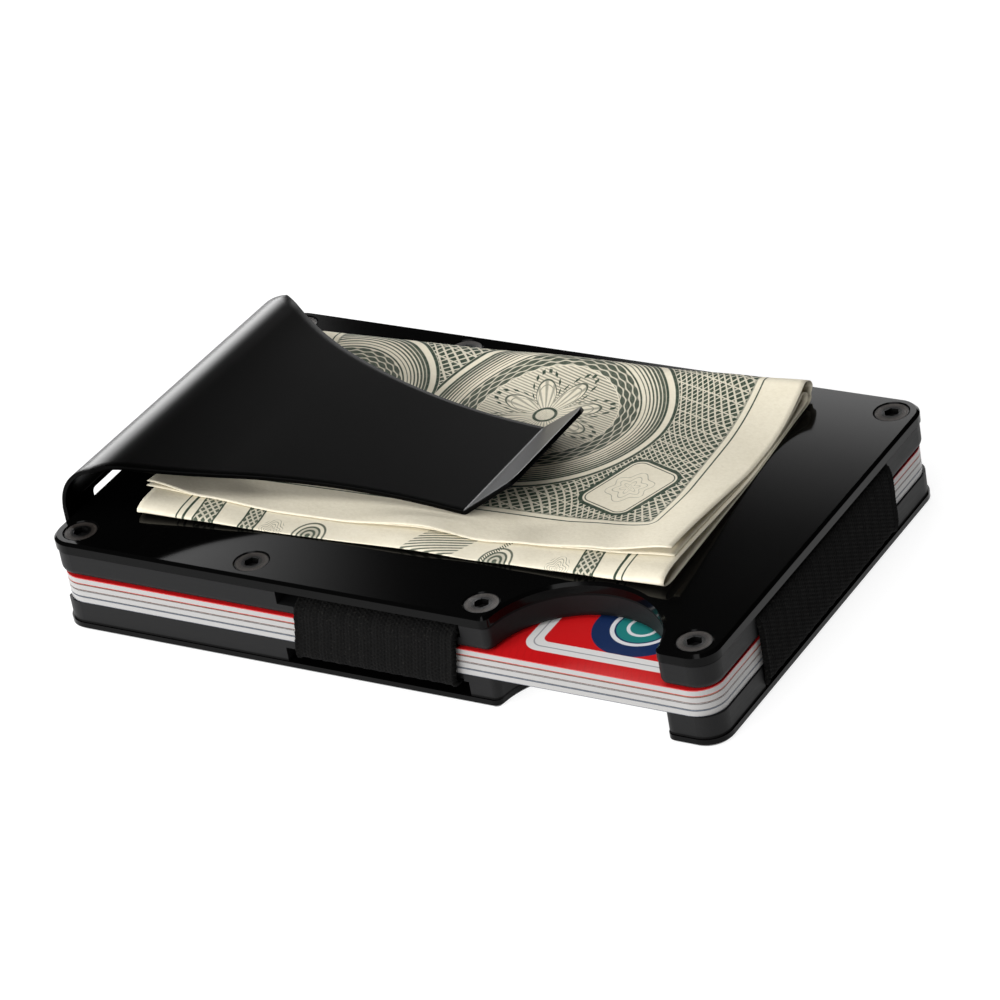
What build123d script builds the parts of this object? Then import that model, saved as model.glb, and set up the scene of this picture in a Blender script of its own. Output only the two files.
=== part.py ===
from build123d import *
import math
import os

# Minimalist card wallet: two plate halves held round a stack of cards by elastic bands, with a spring
# money clip. Millimetres. +X points to the closed end with the thumb notch, +Z is up through the clip.
# The origin is the centre of the bottom face.

# Outer plates
PLATE_LENGTH = 86.4
PLATE_WIDTH = 54.4
PLATE_CORNER = 3.0
PLATE_CHAMFER = 0.35
LOWER_OUTER = 1.0
UPPER_OUTER = 1.35

# Inner plates, set back from the outer ones all round
SETBACK = 0.2
INNER_LENGTH = PLATE_LENGTH - 2 * SETBACK
INNER_WIDTH = PLATE_WIDTH - 2 * SETBACK
INNER_CORNER = 2.8
LOWER_INNER = 2.75
UPPER_INNER = 3.25
LEAD_IN = 0.7
CARD_EDGE_ROUND = 0.9

# Card stack, ISO ID-1 cards
CARD_LENGTH = 85.6
CARD_WIDTH = 53.98
CARD_CORNER = 3.18
CARD_THICKNESS = 0.8
CARD_PITCH = 0.86
CARD_COUNT = 4
CARD_SPACE = 3.45
CARD_PLAY = 0.03

# Levels, from the table upwards
LOWER_SEAM = LOWER_OUTER
CARDS_BOTTOM = LOWER_SEAM + LOWER_INNER
CARDS_TOP = CARDS_BOTTOM + CARD_SPACE
UPPER_SEAM = CARDS_TOP + UPPER_INNER
TOP = UPPER_SEAM + UPPER_OUTER

# Thumb notch, nearly a half circle in the front edge of all four plates
NOTCH_X = 26.1
NOTCH_Y = -27.5
NOTCH_RADIUS = 10.45
NOTCH_MOUTH_FILLET = 1.0

# Countersunk hex-socket screws, two mirrored rows on each half
SCREW_XS = (-40.0, -16.5, 13.6, 40.0)
SCREW_Y = 24.2
HEAD_RADIUS = 2.0
HEAD_SINK = 0.1
HEAD_RIM = 0.15
SHANK_RADIUS = 1.0
SOCKET_ACROSS = 1.6
SOCKET_DEPTH = 0.7
UPPER_SCREW_LENGTH = 3.9
LOWER_SCREW_LENGTH = 3.1
SCREW_PLAY = 0.02
HOLE_SPARE = 0.2
HOLE_MOUTH = 0.3

# Elastic bands and the channels they lie in
BAND_THICKNESS = 0.75
BAND_PLAY = 0.05
CHANNEL_DEPTH = 1.8
CROSS_WIDTH = 20.8
CROSS_X = 0.8
CROSS_CHANNEL = 24.0
END_WIDTH = 31.8
END_CHANNEL = 32.4
END_TAIL_X = -11.0
END_CHANNEL_X = -12.0
RECESS = 0.4
RECESS_PLAY = 0.2
BAND_OUTER_BEND = 1.0

# Money clip, one bent sheet
SHEET = 0.55
CLIP_Y = -0.5
CLIP_HALF_WIDTH = 21.4
SPINE_X = -43.85
FOOT_BEND = 1.2
FOOT_PLAY = 0.04
FOOT_END_X = -31.0
LEG_END_X = -40.5
WINDOW_HALF_WIDTH = 16.1
WINDOW_TOP = TOP + 0.55
WINDOW_FILLET = 0.5
SPINE_BEND_Z = 13.0
SPINE_BEND = 5.9
RIDGE_SLOPE = 18.3
RIDGE_EASE = 57.8
LEAF_SLOPE = 8.0
LEAF_END = (3.4, 13.0)
LEAF_END_HALF_WIDTH = 9.35
LEAF_EDGE_RADIUS = 68.0
LEAF_WAIST_X = 0.0
SHOULDER_FILLET = 3.0
LIP_END = (9.9, 17.7)
LIP_HALF_WIDTH = 8.5
LIP_CORNER = 1.5
SPLIT_GAP = 0.02
EDGE_RELIEF = 0.75

# Banknote folded in four
NOTE_WIDTH = 67.4
NOTE_PAPER = 0.12
NOTE_LAYER_STEP = 0.165
NOTE_FRONT_FOLD_Y = -18.0
NOTE_BACK_FOLD_Y = 21.8
NOTE_FREE_EDGE_Y = -14.6
NOTE_CENTRE_X = -2.65
NOTE_TURN = 2.6
NOTE_LIFT = 0.01


def box_between(low, high):
    """A box given by its lowest and highest corners."""
    size = [b - a for a, b in zip(low, high)]
    centre = [(a + b) / 2 for a, b in zip(low, high)]
    return Pos(*centre) * Box(*size)


def plate_outline(length, width, corner):
    """A rounded rectangle with the thumb notch bitten out of its front edge."""
    outline = RectangleRounded(length, width, corner) - Pos(NOTCH_X, NOTCH_Y) * Circle(NOTCH_RADIUS)
    front = -width / 2
    reach = math.sqrt(NOTCH_RADIUS**2 - (front - NOTCH_Y) ** 2)
    mouth = [
        corner_point
        for corner_point in outline.vertices()
        if abs(corner_point.Y - front) < 0.01 and abs(abs(corner_point.X - NOTCH_X) - reach) < 0.01
    ]
    return fillet(mouth, NOTCH_MOUTH_FILLET)


def screw_places():
    """The plan positions of one half's eight screws, front row first."""
    return [(x, y) for y in (-SCREW_Y, SCREW_Y) for x in SCREW_XS]


def countersink():
    """The space for one screw head in a plate whose outer face is at z = 0, opening upwards."""
    mouth = HEAD_RADIUS + HEAD_RIM
    depth = mouth - SHANK_RADIUS
    cone = Pos(0, 0, -depth / 2) * Cone(SHANK_RADIUS, mouth, depth)
    return cone + Pos(0, 0, -UPPER_OUTER) * Cylinder(SHANK_RADIUS + SCREW_PLAY, 4 * UPPER_OUTER)


def screw(length):
    """One countersunk screw, its axis on Z and the plate's outer face at z = 0."""
    head_height = HEAD_RADIUS - SHANK_RADIUS
    head = Pos(0, 0, -HEAD_SINK - head_height / 2) * Cone(SHANK_RADIUS, HEAD_RADIUS - SCREW_PLAY, head_height)
    shank_length = length - HEAD_SINK - head_height
    shank = Pos(0, 0, -length + shank_length / 2) * Cylinder(SHANK_RADIUS, shank_length)
    point = (head + shank).faces().sort_by(Axis.Z)[0].edges()
    body = chamfer(point, SHANK_RADIUS / 4)
    socket = extrude(RegularPolygon(SOCKET_ACROSS / 2, 6, major_radius=False), SOCKET_DEPTH)
    return body - Pos(0, 0, -HEAD_SINK - SOCKET_DEPTH) * socket


def outer_plate(thickness):
    """An outer plate with its chamfered outer face at z = 0 and its inner face below it."""
    blank = extrude(plate_outline(PLATE_LENGTH, PLATE_WIDTH, PLATE_CORNER), -thickness)
    plate = chamfer(blank.faces().sort_by(Axis.Z)[-1].edges(), PLATE_CHAMFER)
    for x, y in screw_places():
        plate -= Pos(x, y, 0) * countersink()
    return plate


def inner_plate_blank(thickness):
    """An uncut inner plate whose outer face is at z = 0."""
    return extrude(plate_outline(INNER_LENGTH, INNER_WIDTH, INNER_CORNER), -thickness)


def rounded_blank(thickness):
    """An uncut inner plate whose edges next to the cards are rounded."""
    blank = inner_plate_blank(thickness)
    return fillet(blank.faces().sort_by(Axis.Z)[0].edges(), CARD_EDGE_ROUND)


def inner_plate(plate, thickness, outer_thickness, screw_length):
    """A blank with its band channels, screw holes and lead-in cut."""
    length = INNER_LENGTH
    width = INNER_WIDTH
    half_cross = CROSS_CHANNEL / 2
    plate -= box_between((-half_cross, -width, -CHANNEL_DEPTH), (half_cross, width, 1))
    plate -= box_between((END_CHANNEL_X, -END_CHANNEL / 2, -CHANNEL_DEPTH), (length, END_CHANNEL / 2, 1))
    plate -= box_between((length / 2 - RECESS, -END_CHANNEL / 2, -thickness), (length, END_CHANNEL / 2, 1))
    recess_low = CROSS_X - CROSS_WIDTH / 2 - RECESS_PLAY
    recess_high = CROSS_X + CROSS_WIDTH / 2 + RECESS_PLAY
    plate -= box_between((recess_low, width / 2 - RECESS, -thickness), (recess_high, width, 1))
    plate -= box_between((recess_low, -width, -thickness), (recess_high, RECESS - width / 2, 1))
    hole_depth = screw_length - outer_thickness + HOLE_SPARE
    hole = Pos(0, 0, -hole_depth / 2) * Cylinder(SHANK_RADIUS + SCREW_PLAY, hole_depth)
    hole += Pos(0, 0, -HOLE_MOUTH / 2) * Cone(SHANK_RADIUS, SHANK_RADIUS + HOLE_MOUTH, HOLE_MOUTH)
    for x, y in screw_places():
        plate -= Pos(x, y, 0) * hole
    wedge = Pos(-length / 2, 0, -thickness) * Rot(0, 45, 0) * Box(
        LEAD_IN * math.sqrt(2), 2 * width, LEAD_IN * math.sqrt(2)
    )
    return plate - wedge


def clip_foot_pocket(play):
    """The recess that the clip's foot and legs fill in the upper inner plate, outer face at z = 0."""
    half = CLIP_HALF_WIDTH + play
    depth = SHEET + 2 * play
    slab = box_between((-PLATE_LENGTH, -half, -depth), (FOOT_END_X + play, half, 1))
    land = box_between(
        (-PLATE_LENGTH, -WINDOW_HALF_WIDTH + play, -2 * depth), (LEG_END_X - play, WINDOW_HALF_WIDTH - play, 2)
    )
    return Pos(0, CLIP_Y, 0) * (slab - land)


def make_clip_spine():
    """The foot between the plates, its two legs and the upright spine with its window."""
    foot_z = UPPER_SEAM - FOOT_PLAY
    low = foot_z - SHEET
    outer = FOOT_BEND
    inner = FOOT_BEND - SHEET
    centre = (SPINE_X + outer, low + outer)
    with BuildSketch(Plane.XZ) as section:
        with BuildLine():
            Line((FOOT_END_X, low), (centre[0], low))
            CenterArc(centre, outer, 270, -90)
            Line((SPINE_X, centre[1]), (SPINE_X, SPINE_BEND_Z - SPLIT_GAP))
            Line((SPINE_X, SPINE_BEND_Z - SPLIT_GAP), (SPINE_X + SHEET, SPINE_BEND_Z - SPLIT_GAP))
            Line((SPINE_X + SHEET, SPINE_BEND_Z - SPLIT_GAP), (SPINE_X + SHEET, centre[1]))
            CenterArc(centre, inner, 180, 90)
            Line((centre[0], foot_z), (FOOT_END_X, foot_z))
            Line((FOOT_END_X, foot_z), (FOOT_END_X, low))
        make_face()
    sheet = Pos(0, CLIP_Y, 0) * extrude(section.sketch, CLIP_HALF_WIDTH, both=True)
    window = Pos(0, CLIP_Y, 0) * box_between(
        (2 * SPINE_X, -WINDOW_HALF_WIDTH, 0), (LEG_END_X, WINDOW_HALF_WIDTH, WINDOW_TOP)
    )
    spine = sheet - window
    corners = [
        edge
        for edge in spine.edges().filter_by(Axis.X)
        if abs(edge.center().Z - WINDOW_TOP) < 0.01 and edge.center().X < LEG_END_X
    ]
    return fillet(corners, WINDOW_FILLET)


def lip_angle():
    """How steeply the lip turns up, in radians."""
    return math.atan2(LIP_END[1] - LEAF_END[1], LIP_END[0] - LEAF_END[0])


def leaf_section():
    """The leaf in the X-Z plane: the bend over the spine, an easing arc, the shallow leaf and the lip."""
    centre = (SPINE_X + SPINE_BEND, SPINE_BEND_Z)
    slope = math.radians(LEAF_SLOPE)
    ridge = math.radians(RIDGE_SLOPE)
    turn = 90 + RIDGE_SLOPE
    ease_turn = RIDGE_SLOPE - LEAF_SLOPE
    inner_bend = SPINE_BEND - SHEET
    span = SPINE_BEND + RIDGE_EASE
    ease_centre = (centre[0] + span * math.sin(ridge), centre[1] + span * math.cos(ridge))
    top_start = (ease_centre[0] - RIDGE_EASE * math.sin(slope), ease_centre[1] - RIDGE_EASE * math.cos(slope))
    under_start = (top_start[0] - SHEET * math.sin(slope), top_start[1] - SHEET * math.cos(slope))
    lip_under = (LIP_END[0] + SHEET * math.sin(lip_angle()), LIP_END[1] - SHEET * math.cos(lip_angle()))
    chord = math.atan2(LEAF_END[1] - top_start[1], LEAF_END[0] - top_start[0])
    end_slope = 2 * chord + slope
    half_corner = (lip_angle() - end_slope) / 2
    corner_side = end_slope + half_corner
    reach = SHEET / math.cos(half_corner)
    under_end = (LEAF_END[0] + reach * math.sin(corner_side), LEAF_END[1] - reach * math.cos(corner_side))
    tangent = (math.cos(slope), -math.sin(slope))
    with BuildSketch(Plane.XZ) as section:
        with BuildLine():
            CenterArc(centre, SPINE_BEND, 180, -turn)
            CenterArc(ease_centre, RIDGE_EASE, 270 - RIDGE_SLOPE, ease_turn)
            TangentArc(top_start, LEAF_END, tangent=tangent)
            Line(LEAF_END, LIP_END)
            Line(LIP_END, lip_under)
            Line(lip_under, under_end)
            TangentArc(under_start, under_end, tangent=tangent)
            CenterArc(ease_centre, RIDGE_EASE + SHEET, 270 - LEAF_SLOPE, -ease_turn)
            CenterArc(centre, inner_bend, 180 - turn, turn)
            Line((SPINE_X + SHEET, SPINE_BEND_Z), (SPINE_X, SPINE_BEND_Z))
        make_face()
    return section.sketch


def leaf_plan():
    """The leaf from above: full width at the spine, concave sides, a narrow lip with rounded corners."""
    rise = CLIP_HALF_WIDTH - LEAF_END_HALF_WIDTH
    arc_y = LEAF_END_HALF_WIDTH + LEAF_EDGE_RADIUS
    sweep = math.degrees(math.acos(1 - rise / LEAF_EDGE_RADIUS))
    shoulder_x = LEAF_WAIST_X - LEAF_EDGE_RADIUS * math.sin(math.radians(sweep))
    start_x = 2 * SPINE_X
    lip_x = LIP_END[0] + SHEET * math.sin(lip_angle())
    with BuildSketch() as plan:
        with BuildLine():
            Line((start_x, 0), (start_x, CLIP_HALF_WIDTH))
            Line((start_x, CLIP_HALF_WIDTH), (shoulder_x, CLIP_HALF_WIDTH))
            CenterArc((LEAF_WAIST_X, arc_y), LEAF_EDGE_RADIUS, 270 - sweep, sweep)
            Line((LEAF_WAIST_X, LEAF_END_HALF_WIDTH), (LEAF_END[0], LEAF_END_HALF_WIDTH))
            Line((LEAF_END[0], LEAF_END_HALF_WIDTH), (lip_x, LIP_HALF_WIDTH))
            Line((lip_x, LIP_HALF_WIDTH), (lip_x, 0))
            mirror(about=Plane.XZ)
        make_face()
        fillet([corner for corner in plan.vertices() if abs(corner.X - lip_x) < 0.01], LIP_CORNER)
        shoulders = [corner for corner in plan.vertices() if abs(corner.X - shoulder_x) < 0.01]
        fillet(shoulders, SHOULDER_FILLET)
    return plan.sketch


def make_clip_leaf():
    """The part of the clip that flexes: its bent section cut to the leaf's plan."""
    sheet = extrude(leaf_section(), CLIP_HALF_WIDTH, both=True)
    cutter = extrude(leaf_plan(), 2 * TOP)
    return Pos(0, CLIP_Y, 0) * (sheet & cutter)


def band_bend_section(y_out, low, high):
    """A closed band loop in the plane of its run, from -y_out to y_out and from low to high."""
    outer = Pos(0, (low + high) / 2) * RectangleRounded(2 * y_out, high - low, BAND_OUTER_BEND)
    inner = Pos(0, (low + high) / 2) * RectangleRounded(
        2 * (y_out - BAND_THICKNESS), high - low - 2 * BAND_THICKNESS, BAND_OUTER_BEND - BAND_THICKNESS
    )
    return outer - inner


def make_cross_band():
    """The elastic loop round both long sides, lying on the floors of the cross channels."""
    low = LOWER_SEAM + CHANNEL_DEPTH - BAND_PLAY / 2 - BAND_THICKNESS
    high = UPPER_SEAM - CHANNEL_DEPTH + BAND_PLAY / 2 + BAND_THICKNESS
    reach = CARD_WIDTH / 2 + BAND_PLAY + BAND_THICKNESS
    loop = Plane.YZ * band_bend_section(reach, low, high)
    return Pos(CROSS_X, 0, 0) * extrude(loop, CROSS_WIDTH / 2, both=True)


def make_end_band():
    """The elastic band round the closed end, its tails just inside the outer plates."""
    low = LOWER_SEAM + BAND_PLAY
    high = UPPER_SEAM - BAND_PLAY
    reach = CARD_LENGTH / 2 + BAND_PLAY + BAND_THICKNESS
    loop = extrude(Plane.XZ * band_bend_section(reach, low, high), END_WIDTH / 2, both=True)
    return loop & box_between((END_TAIL_X, -PLATE_WIDTH, 0), (PLATE_LENGTH, PLATE_WIDTH, TOP))


def make_card(level):
    """One card of the stack, the lowest at level 0."""
    bottom = CARDS_BOTTOM + CARD_PLAY + level * CARD_PITCH
    outline = RectangleRounded(CARD_LENGTH, CARD_WIDTH, CARD_CORNER)
    return Pos(0, 0, bottom) * extrude(outline, CARD_THICKNESS)


def make_banknote():
    """A note folded in half and in half again: four layers, one front fold and two nested back folds."""
    bottom = TOP + NOTE_LIFT
    half = NOTE_WIDTH / 2
    steps = [bottom + layer * NOTE_LAYER_STEP for layer in range(4)]
    fronts = (NOTE_FRONT_FOLD_Y, NOTE_FRONT_FOLD_Y, NOTE_FREE_EDGE_Y, NOTE_FREE_EDGE_Y)
    inner_back = NOTE_BACK_FOLD_Y - NOTE_LAYER_STEP
    backs = (NOTE_BACK_FOLD_Y, inner_back, inner_back, NOTE_BACK_FOLD_Y)
    layers = [
        box_between((-half, front, low), (half, back, low + NOTE_PAPER))
        for low, front, back in zip(steps, fronts, backs)
    ]
    note = layers[0] + layers[1] + layers[2] + layers[3]
    folds = (
        (NOTE_FRONT_FOLD_Y, NOTE_FRONT_FOLD_Y + NOTE_PAPER, steps[0], steps[1]),
        (inner_back - NOTE_PAPER, inner_back, steps[1], steps[2]),
        (NOTE_BACK_FOLD_Y - NOTE_PAPER, NOTE_BACK_FOLD_Y, steps[0], steps[3]),
    )
    for near, far, low, high in folds:
        note += box_between((-half, near, low), (half, far, high + NOTE_PAPER))
    return Pos(NOTE_CENTRE_X, 0, 0) * Rot(0, 0, NOTE_TURN) * note


def make_upper_outer_plate():
    """The plate under the money clip, its underside relieved where the clip's bend passes."""
    plate = Pos(0, 0, TOP) * outer_plate(UPPER_OUTER)
    side = EDGE_RELIEF * math.sqrt(2)
    relief = Pos(-PLATE_LENGTH / 2, CLIP_Y, UPPER_SEAM) * Rot(0, 45, 0) * Box(
        side, 2 * (CLIP_HALF_WIDTH + FOOT_PLAY), side
    )
    return plate - relief


def make_parts():
    """Every node's solid by name, in place."""
    turned = Rot(180, 0, 0)
    lower_blank = inner_plate_blank(LOWER_INNER)
    lower_inner = inner_plate(lower_blank, LOWER_INNER, LOWER_OUTER, LOWER_SCREW_LENGTH)
    upper_blank = rounded_blank(UPPER_INNER)
    upper_inner = inner_plate(upper_blank, UPPER_INNER, UPPER_OUTER, UPPER_SCREW_LENGTH)
    parts = {
        "lower_outer_plate": mirror(outer_plate(LOWER_OUTER), about=Plane.XY),
        "lower_inner_plate": Pos(0, 0, LOWER_SEAM) * mirror(lower_inner, about=Plane.XY),
        "upper_inner_plate": Pos(0, 0, UPPER_SEAM) * (upper_inner - clip_foot_pocket(FOOT_PLAY)),
        "upper_outer_plate": make_upper_outer_plate(),
        "clip_spine": make_clip_spine(),
        "clip_leaf": make_clip_leaf(),
        "cross_band": make_cross_band(),
        "end_band": make_end_band(),
        "banknote": make_banknote(),
    }
    for number, (x, y) in enumerate(screw_places(), start=1):
        parts[f"lower_screw_{number}"] = Pos(x, y, 0) * turned * screw(LOWER_SCREW_LENGTH)
        parts[f"upper_screw_{number}"] = Pos(x, y, TOP) * screw(UPPER_SCREW_LENGTH)
    for level in range(CARD_COUNT):
        parts[f"card_{level + 1}"] = make_card(level)
    return parts


def main():
    os.makedirs("parts", exist_ok=True)
    for name, solid in make_parts().items():
        export_step(solid, f"parts/{name}.step")


main()
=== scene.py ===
"""Minimalist card wallet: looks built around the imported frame, in metres, +Z up, in its axes."""
import math

import bpy
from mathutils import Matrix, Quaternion, Vector, noise


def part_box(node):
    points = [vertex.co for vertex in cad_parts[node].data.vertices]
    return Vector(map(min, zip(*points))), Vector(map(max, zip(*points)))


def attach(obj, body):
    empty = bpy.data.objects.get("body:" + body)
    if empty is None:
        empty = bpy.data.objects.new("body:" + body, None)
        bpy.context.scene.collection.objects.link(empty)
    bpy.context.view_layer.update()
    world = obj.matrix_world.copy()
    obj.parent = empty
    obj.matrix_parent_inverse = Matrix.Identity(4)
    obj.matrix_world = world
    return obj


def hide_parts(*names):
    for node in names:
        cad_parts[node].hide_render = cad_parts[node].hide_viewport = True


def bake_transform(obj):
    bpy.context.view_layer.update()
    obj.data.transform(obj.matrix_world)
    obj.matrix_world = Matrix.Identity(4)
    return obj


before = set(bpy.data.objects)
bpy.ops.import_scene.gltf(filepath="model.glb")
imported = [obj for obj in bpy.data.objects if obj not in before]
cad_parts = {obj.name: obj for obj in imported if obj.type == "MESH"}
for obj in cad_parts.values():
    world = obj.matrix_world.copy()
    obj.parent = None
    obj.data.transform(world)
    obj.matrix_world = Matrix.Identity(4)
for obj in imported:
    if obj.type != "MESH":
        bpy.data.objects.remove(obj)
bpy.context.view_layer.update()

MM = 0.001

# Camera: it looks at a point near the middle of the wallet
AIM = Vector((-0.98, 3.48, 5.65)) * MM
AZIMUTH = 35.13
ELEVATION = 30.75
ROLL = -10.35
DISTANCE = 543.5 * MM
LENS = 169.9

# Levels and outlines from the frame
PLATE_LOW, PLATE_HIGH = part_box("upper_outer_plate")
TOP = PLATE_HIGH.z
UPPER_SEAM = PLATE_LOW.z
LOWER_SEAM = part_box("lower_outer_plate")[1].z
SPINE_LOW, SPINE_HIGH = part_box("clip_spine")
LEAF_LOW, LEAF_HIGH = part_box("clip_leaf")
CLIP_Y = (LEAF_LOW.y + LEAF_HIGH.y) / 2
CLIP_HALF_WIDTH = (LEAF_HIGH.y - LEAF_LOW.y) / 2


# ---------------------------------------------------------------- meshes

def clamp(value):
    """The value held between 0 and 1."""
    return max(0.0, min(1.0, value))


def smoothstep(low, high, value):
    """0 at low, 1 at high, smooth between; low may be the larger."""
    t = clamp((value - low) / (high - low))
    return t * t * (3 - 2 * t)


def through(points, value):
    """A smooth height at value, through (place, height) points in order."""
    if value <= points[0][0]:
        return points[0][1]
    for (x0, y0), (x1, y1) in zip(points, points[1:]):
        if value <= x1:
            t = (value - x0) / (x1 - x0)
            return y0 + (y1 - y0) * t * t * (3 - 2 * t)
    return points[-1][1]


def curve_through(points, step):
    """Points about a step apart along a smooth curve that passes through the given ones."""
    padded = [points[0], *points, points[-1]]
    found = []
    for p0, p1, p2, p3 in zip(padded, padded[1:], padded[2:], padded[3:]):
        count = max(2, math.ceil((Vector(p2) - Vector(p1)).length / step))
        for i in range(count):
            t = i / count
            found.append(tuple(
                0.5 * (2 * b + (c - a) * t + (2 * a - 5 * b + 4 * c - d) * t**2
                       + (3 * b - a - 3 * c + d) * t**3)
                for a, b, c, d in zip(p0, p1, p2, p3)
            ))
    return [*found, tuple(points[-1])]


def grid_faces(rows, columns):
    """Quads of a grid of vertices stored row by row."""
    faces = []
    for i in range(rows - 1):
        for k in range(columns - 1):
            near = i * columns + k
            far = near + columns
            faces.append((near, far, far + 1, near + 1))
    return faces


def mesh_object(name, points, faces, flat=None):
    """A smooth mesh object. flat gives each vertex's place on the uncut sheet, as the UV map."""
    mesh = bpy.data.meshes.new(name)
    mesh.from_pydata(points, [], faces)
    mesh.validate()
    for polygon in mesh.polygons:
        polygon.use_smooth = True
    if flat:
        layer = mesh.uv_layers.new(name="flat")
        for loop in mesh.loops:
            layer.data[loop.index].uv = flat[loop.vertex_index]
    obj = bpy.data.objects.new(name, mesh)
    bpy.context.scene.collection.objects.link(obj)
    return obj


def add_modifier(obj, kind, **settings):
    modifier = obj.modifiers.new(kind.lower(), kind)
    for key, value in settings.items():
        setattr(modifier, key, value)


# ---------------------------------------------------------------- shader arithmetic

class Field:
    """A number that varies over a surface: arithmetic on it adds math nodes to its material."""

    def __init__(self, tree, socket):
        self.tree = tree
        self.socket = socket

    def math(self, operation, *others):
        node = self.tree.nodes.new("ShaderNodeMath")
        node.operation = operation
        for slot, value in zip(node.inputs, (self, *others)):
            plug(self.tree, slot, value)
        return Field(self.tree, node.outputs[0])

    def __add__(self, other):
        return self.math("ADD", other)

    def __sub__(self, other):
        return self.math("SUBTRACT", other)

    def __mul__(self, other):
        return self.math("MULTIPLY", other)

    def __neg__(self):
        return self * -1

    def abs(self):
        return self.math("ABSOLUTE")

    def sin(self):
        return self.math("SINE")

    def most(self, other):
        return self.math("MAXIMUM", other)

    def wave(self, pitch):
        """A sine of this field from -1 to 1 with the given pitch."""
        return (self * (2 * math.pi / pitch)).sin()

    def ramp(self, low, high):
        """0 below low, 1 above high, smooth between; low may be the larger."""
        node = self.tree.nodes.new("ShaderNodeMapRange")
        node.interpolation_type = "SMOOTHSTEP"
        plug(self.tree, node.inputs["Value"], self)
        node.inputs["From Min"].default_value = low
        node.inputs["From Max"].default_value = high
        return Field(self.tree, node.outputs[0])

    def line(self, width, soft=0.05):
        """1 where this field is within half a width of 0."""
        return self.abs().ramp(width / 2 + soft, width / 2 - soft)


def plug(tree, slot, value):
    """Links a field to a node's slot, or sets the slot's plain value."""
    if isinstance(value, Field):
        tree.links.new(value.socket, slot)
    else:
        slot.default_value = value


def hypot(x, y):
    return (x * x + y * y).math("SQRT")


def angle(x, y):
    return y.math("ARCTAN2", x)


def object_place(tree):
    """The surface point in millimetres in the frame's axes, as three fields."""
    source = tree.nodes.new("ShaderNodeTexCoord")
    parts = tree.nodes.new("ShaderNodeSeparateXYZ")
    tree.links.new(source.outputs["Object"], parts.inputs[0])
    return [Field(tree, parts.outputs[i]) * 1000.0 for i in range(3)]


def flat_place(tree, scale):
    """The place on an uncut sheet, from its UV map, as two fields."""
    source = tree.nodes.new("ShaderNodeUVMap")
    source.uv_map = "flat"
    parts = tree.nodes.new("ShaderNodeSeparateXYZ")
    tree.links.new(source.outputs["UV"], parts.inputs[0])
    return [Field(tree, parts.outputs[i]) * scale for i in range(2)]


def facing(tree):
    """The surface's own direction in the frame's axes, as three fields."""
    source = tree.nodes.new("ShaderNodeTexCoord")
    parts = tree.nodes.new("ShaderNodeSeparateXYZ")
    tree.links.new(source.outputs["Normal"], parts.inputs[0])
    return [Field(tree, parts.outputs[i]) for i in range(3)]


def grain(tree, scale, detail=2.0, stretch=(1, 1, 1)):
    """Noise from 0 to 1 with features about 1000 / scale millimetres across."""
    source = tree.nodes.new("ShaderNodeTexCoord")
    mapping = tree.nodes.new("ShaderNodeMapping")
    mapping.inputs["Scale"].default_value = stretch
    texture = tree.nodes.new("ShaderNodeTexNoise")
    texture.inputs["Scale"].default_value = scale
    texture.inputs["Detail"].default_value = detail
    tree.links.new(source.outputs["Object"], mapping.inputs["Vector"])
    tree.links.new(mapping.outputs[0], texture.inputs["Vector"])
    return Field(tree, texture.outputs[0])


def mix_colour(tree, share, first, second):
    """A colour between two, each a socket or an (r, g, b)."""
    node = tree.nodes.new("ShaderNodeMix")
    node.data_type = "RGBA"
    plug(tree, node.inputs["Factor"], share)
    for name, value in (("A", first), ("B", second)):
        slot = [s for s in node.inputs if s.name == name and s.type == "RGBA"][0]
        if isinstance(value, tuple):
            slot.default_value = (*value, 1)
        else:
            tree.links.new(value, slot)
    return [s for s in node.outputs if s.type == "RGBA"][0]


def bump(tree, shader, height, distance):
    """Raises the surface by the height field times the distance, in metres."""
    node = tree.nodes.new("ShaderNodeBump")
    node.inputs["Strength"].default_value = 1.0
    node.inputs["Distance"].default_value = distance
    plug(tree, node.inputs["Height"], height)
    tree.links.new(node.outputs[0], shader.inputs["Normal"])


def new_material(name, **uniform):
    """A node material, its shader and node tree. uniform gives the shader's even values."""
    material = bpy.data.materials.new(name)
    material.use_nodes = True
    tree = material.node_tree
    shader = tree.nodes["Principled BSDF"]
    for key, value in uniform.items():
        shader.inputs[key.replace("_", " ")].default_value = value
    return material, tree, shader


# ---------------------------------------------------------------- materials

ORANGE_PEEL = 0.0004 * MM


def lacquer_material(name, specular, tone, roughness, spread):
    """Black lacquered metal: fine orange peel, and a gloss that varies a little with handling."""
    material, tree, shader = new_material(name)
    shader.inputs["IOR"].default_value = 1.5
    shader.inputs["Specular IOR Level"].default_value = specular
    smears = grain(tree, 60, 3.0)
    specks = grain(tree, 9000, 2.0)
    rough = smears * spread + (roughness - spread / 2) + specks * 0.01
    tree.links.new(rough.socket, shader.inputs["Roughness"])
    colour = mix_colour(tree, specks, (tone * 0.7,) * 3, (tone * 1.3,) * 3)
    tree.links.new(colour, shader.inputs["Base Color"])
    bump(tree, shader, grain(tree, 3500, 2.0), ORANGE_PEEL)
    return material


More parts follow.
